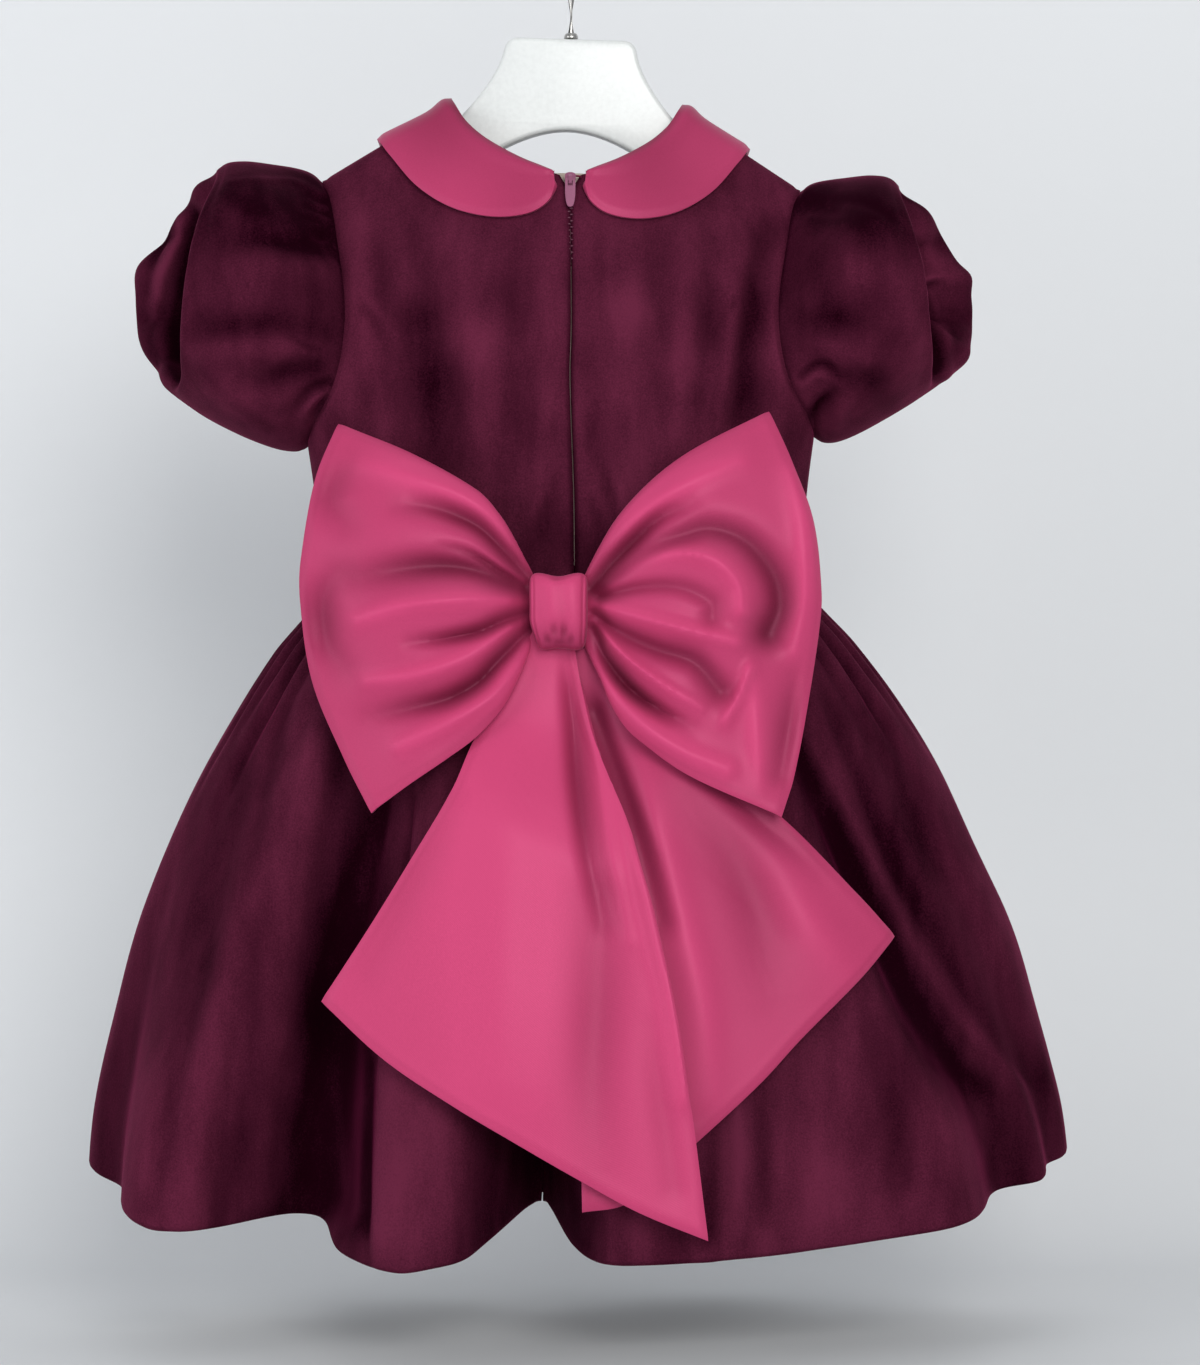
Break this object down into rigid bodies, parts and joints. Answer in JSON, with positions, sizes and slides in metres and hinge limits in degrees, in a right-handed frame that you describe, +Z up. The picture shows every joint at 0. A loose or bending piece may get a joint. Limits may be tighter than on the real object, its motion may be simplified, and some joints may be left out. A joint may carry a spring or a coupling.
{
  "type": "toddler party dress on a hanger",
  "caption": "Short-sleeved velvet party dress with a round satin collar, a big satin bow at the back waist and a back zip, on a flat hanger with a metal hook.",
  "frame": {"origin": "inside top of the hanger's hook, where a rail bears", "axes": "+Z up, the back of the dress faces -Y, +X to the right seen from the back"},
  "size_m": [0.4692, 0.2342, 0.6518],
  "materials": {
    "velvet": "burgundy velvet with a short upright pile",
    "satin": "raspberry satin, soft gloss",
    "tape": "pale woven zip tape",
    "zip_metal": "mauve enamel",
    "board": "smooth white satin paint",
    "wire": "brushed nickel"
  },
  "bodies": {
    "dress": {"bodice_back_left": "velvet", "bodice_back_right": "velvet", "bodice_front": "velvet", "skirt_back_left": "velvet", "skirt_back_right": "velvet", "skirt_front": "velvet", "sleeve_left": "velvet", "sleeve_right": "velvet", "cuff_left": "velvet", "cuff_right": "velvet", "collar_left": "satin", "collar_right": "satin", "bow_wing_left": "satin", "bow_wing_right": "satin", "bow_knot": "satin", "bow_tail_front": "satin", "bow_tail_back": "satin", "zip_tape": "tape", "zip_slider": "zip_metal", "hanger_board": "board", "hanger_ferrule": "wire", "hanger_hook": "wire"},
    "zip_pull": {"zip_pull": "zip_metal"}
  },
  "joints": [
    {"name": "pull_swing", "type": "hinge", "parent": "dress", "child": "zip_pull", "pos_m": [0, -0.04138, -0.15118], "axis": [-1, 0, 0], "range_deg": [0, 150]}
  ]
}
